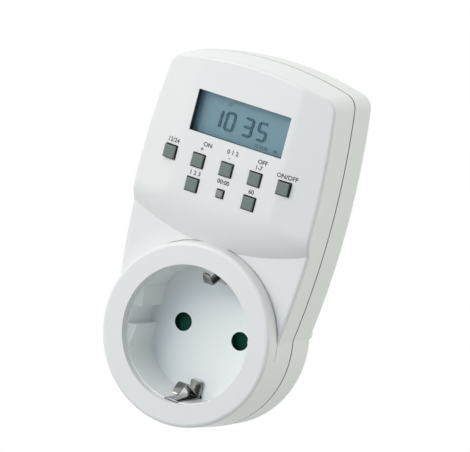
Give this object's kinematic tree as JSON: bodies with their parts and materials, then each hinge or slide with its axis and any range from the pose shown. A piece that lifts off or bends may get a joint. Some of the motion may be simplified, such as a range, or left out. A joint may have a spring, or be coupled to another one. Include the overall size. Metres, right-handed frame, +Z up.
{
  "type": "plug-in digital time switch",
  "caption": "White plug-in digital time switch with a recessed round earthed socket in front, a display with push keys above it, and a round two-pin plug behind.",
  "frame": {"origin": "on the common axis of the socket and the plug, in the plane of the casing's back", "axes": "+Z up along the casing, -Y out of the front face, +Y into the wall along the plug's pins, +X to the right seen from the front"},
  "size_m": [0.0588, 0.0644, 0.1088],
  "materials": {
    "casing_front": "fine satin texture",
    "casing_rear": "fine satin texture",
    "socket_plastic": "smooth moulded",
    "carrier_plastic": "moulded",
    "shutter_plastic": "smooth moulded",
    "spring_steel": "spring strip",
    "contact_brass": "stamped sheet",
    "nickel_brass": "nickel plated, turned",
    "nickel_sheet": "nickel plated spring sheet",
    "window_plastic": "clear moulded",
    "display_glass": "blue-grey liquid crystal cell",
    "frame_plastic": "moulded",
    "connector_rubber": "layered conductive silicone",
    "key_rubber": "moulded silicone",
    "board_laminate": "green solder mask on glass laminate",
    "screw_steel": "zinc plated",
    "chip_plastic": "moulded epoxy",
    "can_steel": "drawn can",
    "relay_plastic": "sealed case",
    "capacitor_plastic": "potted box",
    "sleeve_plastic": "shrink sleeve",
    "fuse_glass": "tube with capped ends",
    "disc_lacquer": "dipped",
    "brown_insulation": "extruded",
    "blue_insulation": "extruded"
  },
  "bodies": {
    "housing": {"front_cover": "casing_front", "rear_cover": "casing_rear", "socket_insert": "socket_plastic", "contact_carrier": "carrier_plastic", "shutter_spring": "spring_steel", "live_contact": "contact_brass", "neutral_contact": "contact_brass", "live_pin": "nickel_brass", "neutral_pin": "nickel_brass", "upper_earth_strip": "nickel_sheet", "lower_earth_strip": "nickel_sheet", "earth_link": "contact_brass", "display_lens": "window_plastic", "display_glass": "display_glass", "display_frame": "frame_plastic", "rubber_connector": "connector_rubber", "keypad_mat": "key_rubber", "control_board": "board_laminate", "power_board": "board_laminate", "board_screws": "screw_steel", "case_screws": "screw_steel", "control_chip": "chip_plastic", "clock_crystal": "can_steel", "backup_cell": "can_steel", "relay": "relay_plastic", "film_capacitor": "capacitor_plastic", "can_capacitor": "sleeve_plastic", "fuse": "fuse_glass", "surge_disc": "disc_lacquer", "board_link": "contact_brass", "live_wire": "brown_insulation", "neutral_wire": "blue_insulation", "switched_wire": "brown_insulation", "return_wire": "blue_insulation"},
    "shutter": {"shutter": "shutter_plastic"},
    "clock_key": {"clock_key": "key_rubber"},
    "plus_key": {"plus_key": "key_rubber"},
    "minus_key": {"minus_key": "key_rubber"},
    "random_key": {"random_key": "key_rubber"},
    "on_off_key": {"on_off_key": "key_rubber"},
    "set_key": {"set_key": "key_rubber"},
    "reset_key": {"reset_key": "key_rubber"},
    "countdown_key": {"countdown_key": "key_rubber"}
  },
  "joints": [
    {"name": "clock_press", "type": "slide", "parent": "housing", "child": "clock_key", "axis": [0, 1, 0], "range_m": [0, 0.0009], "stiffness_N_per_m": 600, "springref_m": -0.0004},
    {"name": "plus_press", "type": "slide", "parent": "housing", "child": "plus_key", "axis": [0, 1, 0], "range_m": [0, 0.0009], "stiffness_N_per_m": 600, "springref_m": -0.0004},
    {"name": "minus_press", "type": "slide", "parent": "housing", "child": "minus_key", "axis": [0, 1, 0], "range_m": [0, 0.0009], "stiffness_N_per_m": 600, "springref_m": -0.0004},
    {"name": "random_press", "type": "slide", "parent": "housing", "child": "random_key", "axis": [0, 1, 0], "range_m": [0, 0.0009], "stiffness_N_per_m": 600, "springref_m": -0.0004},
    {"name": "on_off_press", "type": "slide", "parent": "housing", "child": "on_off_key", "axis": [0, 1, 0], "range_m": [0, 0.0009], "stiffness_N_per_m": 600, "springref_m": -0.0004},
    {"name": "set_press", "type": "slide", "parent": "housing", "child": "set_key", "axis": [0, 1, 0], "range_m": [0, 0.0009], "stiffness_N_per_m": 600, "springref_m": -0.0004},
    {"name": "reset_press", "type": "slide", "parent": "housing", "child": "reset_key", "axis": [0, 1, 0], "range_m": [0, 0.0009], "stiffness_N_per_m": 600, "springref_m": -0.0004},
    {"name": "countdown_press", "type": "slide", "parent": "housing", "child": "countdown_key", "axis": [0, 1, 0], "range_m": [0, 0.0009], "stiffness_N_per_m": 600, "springref_m": -0.0004},
    {"name": "shutter_turn", "type": "hinge", "parent": "housing", "child": "shutter", "pos_m": [0, -0.0059, 0], "axis": [0, -1, 0], "range_deg": [0, 40], "stiffness_Nm_per_rad": 0.002, "springref_deg": -17.19}
  ]
}
